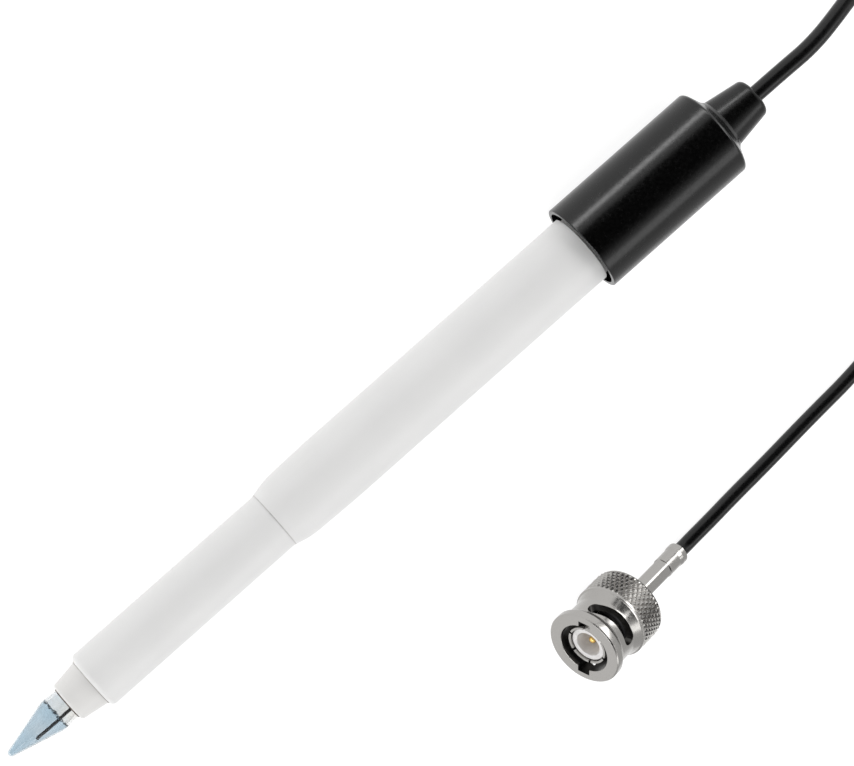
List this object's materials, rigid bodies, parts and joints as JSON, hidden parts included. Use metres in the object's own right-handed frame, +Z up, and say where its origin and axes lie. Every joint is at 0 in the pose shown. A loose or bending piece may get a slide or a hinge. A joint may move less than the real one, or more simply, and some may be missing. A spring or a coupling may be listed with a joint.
{
  "type": "pH electrode",
  "caption": "Combination pH electrode: slim white plastic shaft, conical blue glass tip, black cap with a strain relief, thin coaxial lead and a bayonet plug.",
  "frame": {"origin": "centre of the electrode's bounding box on the floor it lies on, lead and plug left out", "axes": "+X from the glass tip to the cap, +Z up; the electrode lies on its cap's rim and its stem's front edge, so its own axis rises 1.58 degrees towards the cap"},
  "size_m": [0.2193, 0.1056, 0.0179],
  "materials": {
    "membrane_glass": "pale blue glass",
    "tube_glass": "clear glass",
    "buffer_gel": "clear gelled buffer",
    "shaft_plastic": "moulded white plastic, satin",
    "nose_plastic": "moulded off-white plastic, satin",
    "junction_ceramic": "porous, matt",
    "seal_rubber": "soft black rubber",
    "wire_silver": "chlorided silver wire",
    "electrolyte_gel": "gelled electrolyte",
    "epoxy": "cast epoxy",
    "cap_plastic": "polished black plastic",
    "boot_rubber": "black moulded strain relief",
    "lead_jacket": "black flexible jacket",
    "braid_copper": "tinned copper braid",
    "dielectric": "cable dielectric",
    "nickel": "satin nickel plate",
    "ptfe": "white fluoropolymer",
    "gold_pin": "gold plate",
    "spring_steel": "spring steel",
    "tie_band": "woven hook-and-loop band"
  },
  "bodies": {
    "root": {"sensing_cone": "membrane_glass", "glass_stem_tube": "tube_glass", "inner_buffer": "buffer_gel", "measuring_wire": "wire_silver", "inner_tube_plug": "seal_rubber", "nose_bush": "nose_plastic", "junction_ring": "junction_ceramic", "tip_o_ring": "seal_rubber", "stem_tube": "shaft_plastic", "body_tube": "shaft_plastic", "centring_disc": "nose_plastic", "reference_cartridge": "junction_ceramic", "reference_wire": "wire_silver", "reference_gel": "electrolyte_gel", "top_seal": "seal_rubber", "potting": "epoxy", "cap_shell": "cap_plastic", "cap_o_ring": "seal_rubber", "cable_boot": "boot_rubber", "lead_jacket_end": "lead_jacket", "lead_braid_end": "braid_copper", "lead_dielectric_end": "dielectric", "lead_core_end": "braid_copper", "braid_pigtail": "braid_copper", "jacket_crimp_ring": "nickel", "core_splice": "nickel", "braid_splice": "nickel", "plug_body": "nickel", "outer_contact": "nickel", "insulator": "ptfe", "centre_pin": "gold_pin", "rear_bush": "ptfe", "gasket": "seal_rubber", "spring_washer": "spring_steel", "crimp_ferrule": "nickel", "plug_braid": "braid_copper", "plug_dielectric": "dielectric", "plug_core": "braid_copper", "plug_jacket_end": "lead_jacket", "lead_to_coil": "lead_jacket", "lead_to_plug": "lead_jacket", "lead_coil": "lead_jacket", "coil_tie": "tie_band"},
    "nut_carrier": {"thrust_washer": "spring_steel"},
    "coupling_nut": {"coupling_nut": "nickel", "snap_ring": "spring_steel"}
  },
  "joints": [
    {"name": "nut_slide", "type": "slide", "parent": "root", "child": "nut_carrier", "axis": [-0.8528, 0.4289, 0.2979], "range_m": [0, 0.0006], "stiffness_N_per_m": 6000, "springref_m": -0.0003, "deforming": ["spring_washer"]},
    {"name": "nut_spin", "type": "hinge", "parent": "nut_carrier", "child": "coupling_nut", "pos_m": [0.0045, -0.0825, 0.01109], "axis": [-0.8528, 0.4289, 0.2979], "continuous": true}
  ]
}
